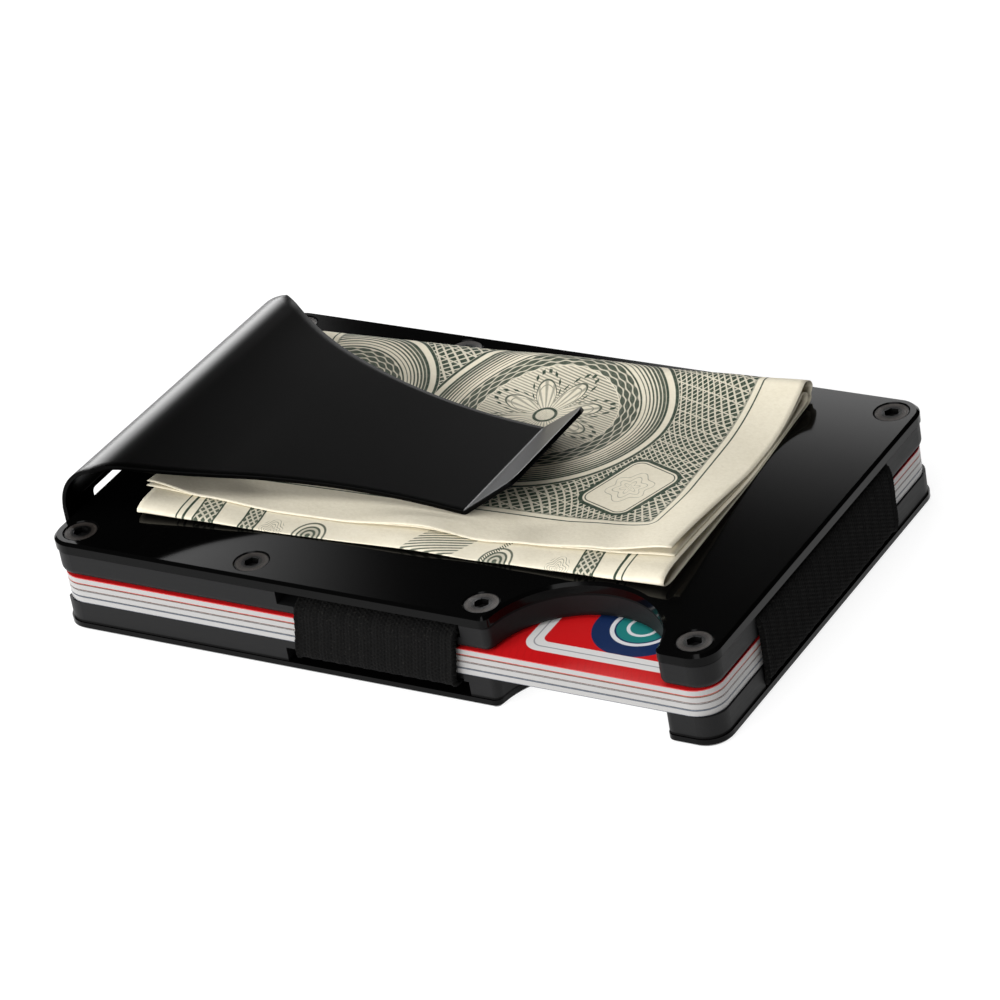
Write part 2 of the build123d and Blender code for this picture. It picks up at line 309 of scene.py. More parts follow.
def inner_plate_material():
    """Satin black with a faint machined grain, and painted shade: a dark line where it meets an
    outer plate, for the shadow under the outer plate's overhang.
    """
    material, tree, shader = new_material("inner_plate_satin")
    shader.inputs["IOR"].default_value = 1.5
    shader.inputs["Specular IOR Level"].default_value = 0.15
    z = object_place(tree)[2]
    along = grain(tree, 2500, 2.0, (0.15, 0.15, 1.0))
    specks = grain(tree, 8000, 2.0)
    # painted shade: a near-black band along each seam with an outer plate; the same band is also
    # made rougher
    seam_shade = (z - UPPER_SEAM / MM).line(0.5, 0.06).most((z - LOWER_SEAM / MM).line(0.5, 0.06))
    tree.links.new((along * 0.12 + 0.42 + seam_shade * 0.4).socket, shader.inputs["Roughness"])
    colour = mix_colour(tree, specks, (0.004, 0.004, 0.0042), (0.008, 0.008, 0.0083))
    colour = mix_colour(tree, seam_shade, colour, (0.0008, 0.0008, 0.0008))
    tree.links.new(colour, shader.inputs["Base Color"])
    bump(tree, shader, along + specks * 0.5, 0.00001)
    return material


def screw_material(name, centre_x, centre_y):
    """Dark oxide steel with turning rings round its own axis, worn brighter at the rim, with a
    painted highlight round the socket's mouth and painted shade in the socket and on the head's
    side.
    """
    material, tree, shader = new_material(name, Metallic=0.35)
    shader.inputs["Specular IOR Level"].default_value = 0.2
    x, y, z = object_place(tree)
    radius = hypot(x - centre_x / MM, y - centre_y / MM)
    specks = grain(tree, 6000, 3.0)
    rim = (radius - 1.72).line(0.25, 0.2) * specks.ramp(0.25, 0.75)
    # painted highlight: a pale ring at the socket's mouth, mixed in with the rim's wear
    socket_edge_glint = (radius - 1.0).line(0.12, 0.1) * 0.5
    worn = rim.most(socket_edge_glint)
    colour = mix_colour(tree, worn, (0.026, 0.022, 0.0195), (0.075, 0.064, 0.057))
    middle = TOP / MM / 2
    depth = -(z - middle).abs() + middle
    # painted shade: near black in the socket's hollow and on the head's side where it sits in the
    # countersink
    socket = radius.ramp(1.3, 1.15) * depth.ramp(0.04, 0.10)
    side = radius.ramp(1.84, 1.94)
    colour = mix_colour(tree, socket.most(side), colour, (0.0004, 0.0004, 0.0004))
    tree.links.new(colour, shader.inputs["Base Color"])
    tree.links.new((specks * 0.2 + 0.42).socket, shader.inputs["Roughness"])
    bump(tree, shader, radius.wave(0.16) + specks, 0.000012)
    return material


def webbing_material():
    """Black elastic webbing: painted shade in the hollows between the ribs, and painted highlights
    as pale specks on the thread fuzz.
    """
    material, tree, shader = new_material("elastic_webbing", Roughness=0.92)
    shader.inputs["Specular IOR Level"].default_value = 0.1
    across, along = flat_place(tree, 100.0)
    thread = grain(tree, 5200, 3.0)
    # painted shade: the hollows between the ribs are darker
    column = across.wave(4 * RIB / MM).ramp(-0.95, -0.55)
    tone = thread.ramp(0.3, 0.75) * 0.65 + column * 0.35
    colour = mix_colour(tree, tone, (0.0004, 0.0004, 0.0004), (0.0026, 0.0025, 0.0024))
    # painted highlight: sparse pale specks where light catches the thread fuzz
    fuzz_glint = grain(tree, 3600, 3.0).ramp(0.60, 0.72)
    colour = mix_colour(tree, fuzz_glint * 0.7, colour, (0.013, 0.0125, 0.011))
    tree.links.new(colour, shader.inputs["Base Color"])
    bump(tree, shader, thread, 0.00008)
    return material


def rounded_frame(x, y, centre, half, corner):
    """Distance outside a rounded rectangle, negative inside it."""
    dx = ((x - centre[0]).abs() - (half[0] - corner)).most(0.0)
    dy = ((y - centre[1]).abs() - (half[1] - corner)).most(0.0)
    return hypot(dx, dy) - corner


# On a card's face, in millimetres
CHIP_CENTRE = (-24.0, 4.5)


def card_material(name, low, high, face, core, film_and_gap_shade_colour):
    """A bank card: printed face, white core at the edges, a thin printed film above and below,
    darkened and widened as painted shade of the gaps between cards.
    """
    material, tree, shader = new_material(name)
    shader.inputs["IOR"].default_value = 1.5
    shader.inputs["Roughness"].default_value = 0.32
    x, y, z = object_place(tree)
    nz = facing(tree)[2]
    specks = grain(tree, 5000, 2.0)
    # the printed film is made darker and wider than the print alone, as painted shade in the gaps
    # between the cards
    film_and_gap_shade = (z - high.z / MM).ramp(-0.13, -0.10)
    film_and_gap_shade = film_and_gap_shade.most((z - low.z / MM).ramp(0.09, 0.06))
    edge = mix_colour(tree, film_and_gap_shade, core, film_and_gap_shade_colour)
    edge = mix_colour(tree, specks.ramp(0.35, 0.9) * 0.18, edge, (0.35, 0.33, 0.32))
    up = nz.ramp(0.4, 0.6)
    printed = face(tree, x, y)
    chip_x, chip_y = x - CHIP_CENTRE[0], y - CHIP_CENTRE[1]
    chip = rounded_frame(x, y, CHIP_CENTRE, (6.0, 5.0), 1.4)
    contacts = chip_x.abs().line(7.6, 0.04) * chip_y.wave(3.0).line(0.16, 0.06)
    contacts = contacts.most((chip_x.abs() - 3.8).line(0.16, 0.04))
    gold = mix_colour(tree, contacts, (0.72, 0.52, 0.22), (0.18, 0.12, 0.05))
    printed = mix_colour(tree, chip.ramp(0.03, -0.03), printed, gold)
    black_strip = (y - 17.0).line(11.0, 0.03)
    back = mix_colour(tree, black_strip, (0.62, 0.61, 0.6), (0.01, 0.01, 0.011))
    colour = mix_colour(tree, up, edge, printed)
    colour = mix_colour(tree, nz.ramp(-0.4, -0.6), colour, back)
    tree.links.new(colour, shader.inputs["Base Color"])
    bump(tree, shader, grain(tree, 2500, 1.0), 0.000006)
    return material


def red_face(tree, x, y):
    """Red card: an outlined panel with a ringed disc in it, and fine diagonal guard lines."""
    guard = ((x + y * 0.35).wave(0.9) + (x * 0.4 - y).wave(7.0)).line(0.5, 0.3)
    red = mix_colour(tree, guard * 0.25, (0.58, 0.0075, 0.0097), (0.42, 0.004, 0.006))
    centre = (28.8, -16.6)
    pale = (0.72, 0.72, 0.74)
    panel = rounded_frame(x, y, centre, (10.9, 8.25), 2.2)
    colour = mix_colour(tree, panel.ramp(0.05, -0.05), red, (0.72, 0.71, 0.70))
    colour = mix_colour(tree, (panel + 0.9).line(0.16, 0.05), colour, (0.30, 0.30, 0.32))
    shown = rounded_frame(x, y, centre, (9.1, 6.4), 1.0).ramp(0.05, -0.05)
    colour = mix_colour(tree, shown, colour, (0.60, 0.008, 0.010))
    radius = hypot(x - 29.5, y + 17.4)
    colour = mix_colour(tree, shown * radius.ramp(5.85, 5.75), colour, (0.008, 0.024, 0.09))
    colour = mix_colour(tree, shown * (radius - 3.5).line(0.5), colour, pale)
    colour = mix_colour(tree, shown * radius.ramp(3.1, 3.0), colour, (0.015, 0.20, 0.19))
    return mix_colour(tree, shown * (radius - 1.7).line(0.4), colour, pale)


def banded_face(first, second, pitch):
    """A card face whose two tones drift into each other under fine curved guard lines."""
    def face(tree, x, y):
        drift = (x * 0.02 + (y * 0.05).sin() * 0.6 + 0.5).ramp(-0.6, 1.6)
        lines = (hypot(x - 60.0, y + 40.0).wave(pitch) + (x * 0.1).sin()).line(0.6, 0.3)
        colour = mix_colour(tree, drift, first, second)
        lighter = tuple(min(1.0, c * 1.8 + 0.02) for c in second)
        return mix_colour(tree, lines * 0.3, colour, lighter)
    return face


# The note's print, worked out on the flat sheet in millimetres
NOTE_WIDTH = 67.4
NOTE_LENGTH = 156.0
MARGIN_SIDE = 6.0
MARGIN_END = 6.8
# Fans of pale rays: centre, number of rays, reach
FANS = (
    ((24.0, 38.0), 13, 16.0),
    ((13.0, 7.0), 11, 13.0),
    ((27.0, 22.0), 9, 12.0),
    ((-8.0, 9.0), 12, 12.0),
)
# Round ornaments: centre, radius, knots in the collar
ROSETTES = (
    ((4.5, 26.5), 11.0, 30),
    ((-24.0, 26.0), 8.5, 24),
)
PLAQUE_CENTRE = (21.5, 14.0)
PLAQUE_TILT = (0.93, 0.36)


def net(across, along, pitch, open_share):
    """Two families of fine wavering lines crossing each other: 1 on a line."""
    drift = (across * 0.31).sin() + (along * 0.27 + 1.0).sin()
    first = across * 0.78 + along * 0.62 + drift * 0.9
    second = across * 0.74 - along * 0.67 + drift * 0.7
    lines = first.wave(pitch).most(second.wave(pitch * 1.07))
    return lines.ramp(open_share - 0.2, open_share + 0.25)


def rays(across, along, centre, count, reach):
    """Thin lines fanning out from a point, fading at their reach: 1 on a line."""
    x, y = across - centre[0], along - centre[1]
    turn = angle(x, y)
    fan = (turn * float(count)).sin() + (turn * (count * 2.0) + 1.0).sin() * 0.5
    return fan.ramp(0.9, 1.25) * hypot(x, y).ramp(reach, reach * 0.4)


def rosette(across, along, centre, radius, knot_count):
    """A round ornament. Returns (covered area, dark print)."""
    x, y = across - centre[0], along - centre[1]
    r = hypot(x, y)
    turn = angle(x, y)
    covered = r.ramp(radius + 4.9, radius + 4.8)
    shade = (x * 0.21 + 0.6).sin() * 0.5 + (y * 0.33 - x * 0.12).sin() * 0.5
    hatch = (y + x * 0.3 + shade * 0.2).wave(0.42).ramp(-0.9, 0.9) * (shade * 0.16 + 0.55)
    petal = r - (turn * 4.0).sin().abs() * 4.2 - 2.4
    veins = (turn * 36.0).sin().ramp(-0.2, 0.9) * 0.55
    heart = hatch * petal.ramp(-0.05, 0.1) + veins * petal.ramp(0.1, -0.05)
    heart = heart.most(petal.line(0.34, 0.08) * 0.95).most((petal + 0.9).line(0.16, 0.08) * 0.8)
    stitches = (petal - 1.5).line(0.7, 0.1) * (turn * 60.0).sin().ramp(-0.3, 0.3)
    heart = heart.most((r - 1.3).line(0.4, 0.08)).most(stitches)
    heart = heart * r.ramp(radius - 2.3, radius - 2.35)
    collar = (r - (radius - 1.05)).line(2.3, 0.04)
    knots = ((turn * float(knot_count)).sin() * 0.5 + (r - radius + 1.0).wave(1.15)).line(0.75, 0.3)
    dark = heart.most(collar * (knots * -0.85 + 0.95))
    dark = dark.most((r - radius - 0.35).line(0.22, 0.06))
    outer = (r - radius - 0.6).ramp(0.0, 0.05) * (r - radius - 3.4).ramp(0.1, 0.0)
    engraved = (r.wave(0.43) - (r - radius) * 0.62 + 1.25).ramp(0.7, -0.5)
    dark = dark.most(outer * engraved * 0.95)
    dark = dark.most((r - radius - 3.5).line(0.3, 0.06)).most((r - radius - 4.6).line(0.4, 0.06))
    return covered, dark


def bars(across, along):
    """Upright ornaments beside the middle of the sheet: dark woven bars and pale scrolls."""
    sway = across + (along * 0.9).sin() * 0.15
    weave = net(across, along, 0.7, 0.45)
    dark = None
    for place, width in ((-25.2, 2.6), (-19.6, 1.9), (23.6, 2.3), (28.2, 1.1)):
        bar = (sway - place).line(width, 0.06)
        rim = ((sway - place).abs() - width / 2).line(0.24, 0.05)
        part = (bar * (weave * -0.7 + 0.95)).most(rim)
        dark = part if dark is None else dark.most(part)
    for place in (-16.4, 20.3):
        curl = hypot((across - place) * 1.2, (along - 76.0) * 0.8)
        lobes = (angle(across - place, along - 76.0) * 5.0).sin() * 0.25
        scroll = (curl + lobes).wave(0.8).line(0.5, 0.3)
        dark = dark.most(scroll * curl.ramp(1.9, 1.7) * 0.9)
    for place in (-11.5, 12.5):
        medal = hypot(across - place, (along - 75.9) * 0.8)
        dark = dark.most(medal.ramp(1.5, 1.4) * (medal.wave(0.6).ramp(-0.6, 0.6) * 0.6 + 0.35))
        dark = dark.most((medal - 1.95).line(0.25, 0.06) * 0.9)
    slant = across * 0.95 + along * 0.5
    hatch = (along + across * 0.3).wave(0.5).ramp(-0.5, 0.8)
    dark = dark.most((slant - 41.5).line(6.0, 0.1) * hatch * 0.9)
    rope = (along - across).wave(0.4).ramp(-0.4, 0.6)
    return dark.most((slant - 48.2).line(0.8, 0.1) * rope)


def with_plaque(across, along, dark):
    """The print with a plain turned plaque on it, which holds a small scroll."""
    x, y = across - PLAQUE_CENTRE[0], along - PLAQUE_CENTRE[1]
    tilt_x = x * PLAQUE_TILT[0] - y * PLAQUE_TILT[1]
    tilt_y = x * PLAQUE_TILT[1] + y * PLAQUE_TILT[0]
    plaque = rounded_frame(tilt_x, tilt_y, (0.0, 0.0), (3.6, 5.0), 1.6)
    plain = plaque.ramp(0.05, -0.05)
    radius = hypot(tilt_x, tilt_y * 0.8)
    lobes = (angle(tilt_x, tilt_y) * 6.0).sin() * 0.3
    scroll = (radius + lobes).wave(1.5).line(0.35, 0.2)
    dark = dark * (plain * -1.0 + 1.0) + scroll * plain * radius.ramp(2.6, 2.5) * 0.6
    return dark.most((plaque - 0.15).line(0.5, 0.05)).most((plaque + 0.4).line(0.14, 0.05))


def note_material():
    """Cream paper with a generic print: woven ground, ornaments and scrolls, no lettering."""
    material, tree, shader = new_material("banknote_paper", Roughness=0.78)
    shader.inputs["Specular IOR Level"].default_value = 0.2
    across, along = flat_place(tree, NOTE_LENGTH)
    middle = NOTE_LENGTH / 2
    along = -(along - middle).abs() + middle
    fibre = grain(tree, 2200, 4.0)
    blotch = grain(tree, 260, 2.0)
    paper = mix_colour(tree, fibre.ramp(0.3, 0.8) * 0.5, (0.72, 0.668, 0.537), (0.64, 0.583, 0.452))
    paper = mix_colour(tree, blotch.ramp(0.45, 0.8) * 0.25, paper, (0.60, 0.543, 0.407))
    half = NOTE_WIDTH / 2 - MARGIN_SIDE
    inside = rounded_frame(across, along, (0.0, middle), (half, middle - MARGIN_END), 0.3)
    field = inside.ramp(0.03, -0.03)
    stripes = (across * 0.3 + along * 0.95).wave(1.9).ramp(0.93, 0.99)
    light = net(across, along, 0.72, 0.66).most(stripes)
    for centre, count, reach in FANS:
        light = light.most(rays(across, along, centre, count, reach) * 0.85)
    dark = light * -0.82 + 1.0
    quiet = along.ramp(60.0, 63.0)
    dark = dark * (quiet * -1.0 + 1.0)
    dark = dark.most(bars(across, along) * quiet)
    for centre, radius, knots in ROSETTES:
        covered, printed = rosette(across, along, centre, radius, knots)
        dark = dark * (covered * -1.0 + 1.0) + printed * covered
    dark = with_plaque(across, along, dark)
    dark = dark * field
    dark = dark.most((inside - 0.85).line(0.2, 0.04))
    dark = dark.most((inside + 0.05).line(0.34, 0.04) * quiet.most(0.55))
    ink = mix_colour(tree, blotch, (0.011, 0.028, 0.016), (0.026, 0.050, 0.031))
    worn = fibre.ramp(0.25, 0.6) * 0.08 + 0.91
    colour = mix_colour(tree, dark * worn, paper, ink)
    tree.links.new(colour, shader.inputs["Base Color"])
    bump(tree, shader, fibre + dark * 0.3, 0.00003)
    return material


# ---------------------------------------------------------------- pieces

SHEET = 0.55 * MM
RIDGE_RADIUS = 6.3 * MM
RIDGE_SLOPE = math.radians(19.2)
RIDGE_EASE = 50.0 * MM
LEAF_SLOPE = math.radians(8.0)
LEAF_END = (3.4 * MM, 13.0 * MM)
LIP_END = (9.9 * MM, 17.7 * MM)
LEAF_END_HALF_WIDTH = 9.35 * MM
LEAF_EDGE_RADIUS = 68.0 * MM
LIP_HALF_WIDTH = 8.5 * MM
LIP_CORNER = 1.5 * MM
LIP_BEND = 0.45 * MM
TWIST = 0.85 * MM
SAG_START = -34.0 * MM
SAG_END = -2.0 * MM


def arc_points(centre, radius, start, turn, count):
    """Points on an arc, both ends included; angles in radians."""
    return [
        (centre[0] + radius * math.cos(start + turn * i / count),
         centre[1] + radius * math.sin(start + turn * i / count))
        for i in range(count + 1)
    ]


def ridge_profile():
    """From the top of the spine over the bend, then easing out to the leaf's own slope."""
    centre_x = SPINE_LOW.x + RIDGE_RADIUS
    centre_z = LEAF_HIGH.z - RIDGE_RADIUS
    rise = math.asin((SPINE_HIGH.z - centre_z) / RIDGE_RADIUS)
    turn = rise - math.pi / 2 - RIDGE_SLOPE
    ridge = arc_points((centre_x, centre_z), RIDGE_RADIUS, math.pi - rise, turn, 40)
    ridge[0] = (SPINE_LOW.x, SPINE_HIGH.z)
    span = RIDGE_RADIUS + RIDGE_EASE
    centre = (centre_x + span * math.sin(RIDGE_SLOPE), centre_z + span * math.cos(RIDGE_SLOPE))
    start = -math.pi / 2 - RIDGE_SLOPE
    return ridge + arc_points(centre, RIDGE_EASE, start, RIDGE_SLOPE - LEAF_SLOPE, 24)[1:]


def lip_profile(slope):
    """The small bend at the leaf's end, which reaches it at the given slope, and the lip."""
    lip = math.atan2(LIP_END[1] - LEAF_END[1], LIP_END[0] - LEAF_END[0])
    cut = (LIP_BEND + SHEET) * math.tan((lip - slope) / 2)
    start_x = LEAF_END[0] - cut * math.cos(slope)
    start_z = LEAF_END[1] - cut * math.sin(slope)
    centre = (start_x - LIP_BEND * math.sin(slope), start_z + LIP_BEND * math.cos(slope))
    bend = arc_points(centre, LIP_BEND, slope - math.pi / 2, lip - slope, 8)
    x, z = bend[-1]
    steps = 14
    tip = [
        (x + (LIP_END[0] - x) * i / steps, z + (LIP_END[1] - z) * i / steps)
        for i in range(1, steps + 1)
    ]
    return cut, bend + tip


def clip_profile():
    """The leaf's outer line in the X-Z plane, from the top of the spine to the lip's tip."""
    points = ridge_profile()
    start = points[-1]
    chord_x = LEAF_END[0] - start[0]
    chord_z = LEAF_END[1] - start[1]
    half_turn = math.atan2(chord_z, chord_x) + LEAF_SLOPE
    radius = math.hypot(chord_x, chord_z) / (2 * math.sin(half_turn))
    centre = (start[0] + radius * math.sin(LEAF_SLOPE), start[1] + radius * math.cos(LEAF_SLOPE))
    leaf = arc_points(centre, radius, -math.pi / 2 - LEAF_SLOPE, 2 * half_turn, 60)[1:]
    cut, lip = lip_profile(2 * half_turn - LEAF_SLOPE)
    leaf = [p for p in leaf if p[0] < LEAF_END[0] - cut]
    return points + leaf + lip


def leaf_half_width(x, from_tip):
    """Half the leaf's width at a place along it: straight, then a waist, then the lip."""
    rise = CLIP_HALF_WIDTH - LEAF_END_HALF_WIDTH
    sweep = math.acos(1 - rise / LEAF_EDGE_RADIUS)
    shoulder = -LEAF_EDGE_RADIUS * math.sin(sweep)
    if x < shoulder:
        half = CLIP_HALF_WIDTH
    elif x < 0:
        half = LEAF_END_HALF_WIDTH + LEAF_EDGE_RADIUS - math.sqrt(LEAF_EDGE_RADIUS**2 - x**2)
    elif x < LEAF_END[0]:
        half = LEAF_END_HALF_WIDTH
    else:
        share = (x - LEAF_END[0]) / (LIP_END[0] - LEAF_END[0])
        half = LEAF_END_HALF_WIDTH + (LIP_HALF_WIDTH - LEAF_END_HALF_WIDTH) * share
    if from_tip < LIP_CORNER:
        half -= LIP_CORNER - math.sqrt(max(0.0, LIP_CORNER**2 - (LIP_CORNER - from_tip) ** 2))
    return half


def leaf_sag(x, y, z):
    """How much lower the slightly askew leaf lies towards its back edge."""
    share = smoothstep(SPINE_HIGH.z, LEAF_HIGH.z, z) * smoothstep(SAG_END, SAG_START, x)
    return TWIST * share * (y - LEAF_LOW.y) / (2 * CLIP_HALF_WIDTH)


def make_clip_leaf():
    """The spring leaf as one sheet, its outer face modelled and its thickness added below."""
    outline = clip_profile()
    columns = 33
    points = []
    for i, (x, z) in enumerate(outline):
        from_tip = sum(math.dist(a, b) for a, b in zip(outline[i:], outline[i + 1:]))
        half = leaf_half_width(x, from_tip)
        for k in range(columns):
            y = CLIP_Y + half * (2 * k / (columns - 1) - 1)
            points.append((x, y, z - leaf_sag(x, y, z)))
    leaf = mesh_object("clip_leaf_sheet", points, grid_faces(len(outline), columns))
    add_modifier(leaf, "SOLIDIFY", thickness=SHEET, offset=-1.0, use_even_offset=True)
    add_modifier(leaf, "BEVEL", width=0.07 * MM, segments=2, limit_method="ANGLE",
                 angle_limit=math.radians(50))
    add_modifier(leaf, "WEIGHTED_NORMAL", keep_sharp=True, weight=50)
    return leaf


WEBBING = 0.62 * MM
RIB = 0.44 * MM
RIB_HEIGHT = 0.11 * MM
CORD_HEIGHT = 0.05 * MM
BEAD = 0.52 * MM
SELVEDGE_DROP = 0.16 * MM
SELVEDGE_TOOTH = 0.13 * MM
EDGE_WANDER = 0.06 * MM
BAND_CREEP = 0.9 * MM
# Straps' routes are worked out in millimetres
ROUTE_STEP = 0.11


def strap(name, route, centre, half, place, inward):
    """An elastic strap: a route in its own plane, swept across its width, ribbed and beaded.

    place turns (across, route's two coordinates) into a point; inward is the side of the thickness.
    """
    columns = round(2 * half / RIB) * 4 + 1
    points = []
    flat = []
    length = 0.0
    for i, spot in enumerate(route):
        before = Vector(route[max(0, i - 1)])
        after = Vector(route[min(len(route) - 1, i + 1)])
        tangent = (after - before).normalized()
        out = Vector((tangent.y, -tangent.x))
        if i:
            length += (Vector(spot) - Vector(route[i - 1])).length
        for k in range(columns):
            share = 2 * k / (columns - 1) - 1
            row = math.cos(2 * math.pi * length / BEAD + math.pi * ((k // 4) % 2))
            column = 0.5 - 0.5 * math.cos(math.pi * k / 8)
            rib = abs(math.sin(math.pi * k / 4)) * (0.55 + 0.45 * row)
            height = RIB_HEIGHT * rib + CORD_HEIGHT * column**0.5
            selvedge = smoothstep(0.94, 1.0, abs(share))
            height -= SELVEDGE_DROP * selvedge * selvedge
            tooth = SELVEDGE_TOOTH * math.cos(2 * math.pi * length / (BEAD * 1.3)) * selvedge
            wander = EDGE_WANDER * noise.noise(Vector((length * 400, share * 3, 7.0)))
            spread = share * half + math.copysign(tooth, share) + wander * abs(share)
            p = Vector(spot) + out * height
            points.append(place(centre + spread, p.x, p.y))
            flat.append((share * half * 10, length * 10))
    band = mesh_object(name, points, grid_faces(len(route), columns), flat)
    add_modifier(band, "SOLIDIFY", thickness=WEBBING, offset=inward)
    return band


def make_cross_band():
    """The elastic loop round both long sides; its top run climbs to the outer plate's underside."""
    low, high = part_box("cross_band")
    reach = high.y / MM + 0.3
    base = low.z / MM
    crown = high.z / MM
    side = [
        (16.5, crown), (22.5, crown + 0.3), (25.6, crown + 0.5), (27.0, crown + 0.2),
        (reach - 0.1, crown - 0.8), (reach, 6.0), (reach - 0.03, base + 1.2),
        (reach - 0.6, base + 0.3), (25.9, base + 0.05), (23.5, base),
    ]
    side = curve_through(side, ROUTE_STEP)
    route = [(y * MM, z * MM) for y, z in [(0, crown), *side, (0, base)]]
    mirrored = [(-y, z) for y, z in reversed(route)]
    loop = route + mirrored[1:-1]
    loop = [*loop, loop[0]]
    half = (high.x - low.x) / 2 - 0.3 * MM
    centre = (high.x + low.x) / 2

    def place(across, y, z):
        """The loop has crept a little askew: its top sits nearer the notch."""
        return (across + BAND_CREEP * (smoothstep(low.z, high.z, z) - 0.5), y, z)

    return strap("cross_band_webbing", loop, centre, half, place, 1.0)


def make_end_band():
    """The elastic band round the closed end, its tails just inside the outer plates."""
    low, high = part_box("end_band")
    reach = high.x / MM
    base = low.z / MM
    crown = high.z / MM
    side = [
        (36, crown), (41.0, crown), (42.7, crown - 0.15), (reach - 0.12, crown - 1.2), (reach, 5.7),
        (reach - 0.12, base + 1.2), (42.7, base + 0.15), (41.0, base), (36, base),
    ]
    side = curve_through(side, ROUTE_STEP)
    tail = low.x / MM
    route = [(x * MM, z * MM) for x, z in [(tail, crown), *side, (tail, base)]]

    def place(across, x, z):
        return (x, across, z)

    return strap("end_band_webbing", route, 0.0, high.y, place, -1.0)


# The folded note, in millimetres: a runs along the folds, b across them, from the front
NOTE_TURN = math.radians(2.6)
NOTE_CENTRE = (-1.8, 0.0)
NOTE_MIDDLE = -0.85
PAPER = 0.11
STACK_STEP = 0.135
FREE_EDGE_B = -14.3
FRONT_FOLD_B = -15.6
BACK_RISE_B = 10.5
BACK_FOLD_B = 21.3
INNER_FOLD_B = BACK_FOLD_B - 0.9
# (a, height) points that each layer's edge passes through, and how far in from the edge it reaches
FRONT_LIFT = (
    (-34.5, 1.15), (-27, 0.65), (-17, 0.02), (-10, 0.02), (1.5, 0.45), (8.75, 0.04), (15, 0.42),
    (24, 0.82), (33, 1.45),
)
MIDDLE_GAP = ((-34.5, 0.02), (-10, 0.0), (1.5, 0.18), (8.75, 0.0), (33, 0.08))
TOP_GAP = (
    (-34.5, 0.75), (-27, 0.1), (-17, 0.01), (-10, 0.01), (1.5, 0.30), (8.75, 0.02), (15, 0.08),
    (24, 0.42), (33, 1.15),
)
BACK_LIFT = ((-34.5, 1.15), (-10, 1.45), (2, 1.95), (16, 1.8), (26, 2.1), (33, 2.45))
FRONT_REACH = ((-34.5, 9.0), (-20, 4.4), (13, 4.4), (22, 9.0), (33, 21.0))


def front_share(a, b):
    """How much of the front edges' lift is left at b."""
    t = clamp((b - FREE_EDGE_B) / through(FRONT_REACH, a))
    return (1 - t) ** 1.5 * (1 + 0.9 * t)


def back_share(b):
    """How much of the back folds' lift is there at b."""
    t = clamp((b - BACK_RISE_B) / (BACK_FOLD_B - BACK_RISE_B))
    return t**1.9


def layer_height(layer, a, b):
    """The middle of a paper layer above the table, 0 being the lowest."""
    base = TOP / MM + PAPER / 2 + 0.02
    front = front_share(a, b)
    lifts = (0.0, through(FRONT_LIFT, a), through(MIDDLE_GAP, a), through(TOP_GAP, a))
    back = back_share(b) * through(BACK_LIFT, a)
    backs = (0.0, 0.10, 0.78, 1.0)
    cockle = 1 + noise.noise(Vector((a * 0.11, b * 0.09, 3.0)))
    wave = 0.10 * cockle * (1 - front) * smoothstep(12, 24, a)
    flat_height = base + layer * STACK_STEP
    return flat_height + sum(lifts[:layer + 1]) * front + back * backs[layer] + wave * backs[layer]


def note_section(a):
    """(b, z) points of the folded sheet at a place along its folds, from its top free edge on."""
    def run(layer, first, last, count):
        places = [first + (last - first) * i / count for i in range(count + 1)]
        return [(b, layer_height(layer, a, b)) for b in places]

    def fold(b, lower, upper, bulge, count, pinch=0.0):
        middle = (lower + upper) / 2
        half = (upper - lower) / 2
        found = []
        for i in range(1, count):
            turn = math.pi * i / count
            dent = 1 - pinch * math.exp(-((turn - 2.0) / 0.35) ** 2)
            found.append((b + bulge * math.sin(turn) * dent, middle + half * math.cos(turn)))
        return found

    fold_b = FRONT_FOLD_B + 0.5 * math.cos(a / 33 * math.pi / 2)
    pinch = 0.3 * smoothstep(22, 33, a)
    top = run(3, FREE_EDGE_B, BACK_FOLD_B, 90)
    outer = fold(BACK_FOLD_B, layer_height(0, a, BACK_FOLD_B), top[-1][1], 1.9, 18, pinch)
    bottom = run(0, BACK_FOLD_B, fold_b, 50)
    second = run(1, fold_b, INNER_FOLD_B, 70)
    front = fold(fold_b, bottom[-1][1], second[0][1], -2.45, 20)[::-1]
    third = run(2, INNER_FOLD_B, FREE_EDGE_B + 0.35, 80)
    inner = fold(INNER_FOLD_B, second[-1][1], third[0][1], 1.3, 14)[::-1]
    return top + outer + bottom + front + second + inner + third


def layer_skew(s, share):
    """How far the layers slip along the folds, s along the section and share along the note."""
    low_layer = smoothstep(41, 60, s) * smoothstep(118, 100, s)
    third = smoothstep(150, 160, s) * smoothstep(0.4, 0.0, share)
    return 0.5 * low_layer - 0.8 * third


def make_note():
    """The note folded in half twice, sprung open at its edges and pinched under the clip's tip."""
    stations = 96
    points = []
    flat = []
    for i in range(stations + 1):
        share = i / stations
        a = NOTE_MIDDLE + NOTE_WIDTH * (share - 0.5)
        section = note_section(a)
        lengths = [0.0]
        for p, q in zip(section, section[1:]):
            lengths.append(lengths[-1] + math.dist(p, q))
        for (b, z), s in zip(section, lengths):
            along = a + layer_skew(s, share)
            x = NOTE_CENTRE[0] + along * math.cos(NOTE_TURN) - b * math.sin(NOTE_TURN)
            y = NOTE_CENTRE[1] + along * math.sin(NOTE_TURN) + b * math.cos(NOTE_TURN)
            points.append((x * MM, y * MM, z * MM))
            flat.append((NOTE_WIDTH * (share - 0.5) / NOTE_LENGTH, s / lengths[-1]))
    columns = len(points) // (stations + 1)
    note = mesh_object("folded_banknote", points, grid_faces(stations + 1, columns), flat)
    add_modifier(note, "SOLIDIFY", thickness=PAPER * MM, offset=0.0)
    return note


# ---------------------------------------------------------------- stage

def area_light(name, place, target, size, power):
    """A rectangular lamp turned towards its target; size in metres, power in watts."""
    light = bpy.data.lights.new(name, "AREA")
    light.shape = "RECTANGLE"
    light.size, light.size_y = size
    light.energy = power
    obj = bpy.data.objects.new(name, light)
    obj.location = place
    obj.rotation_mode = "QUATERNION"
    obj.rotation_quaternion = (Vector(target) - Vector(place)).to_track_quat("-Z", "Y")
    bpy.context.scene.collection.objects.link(obj)


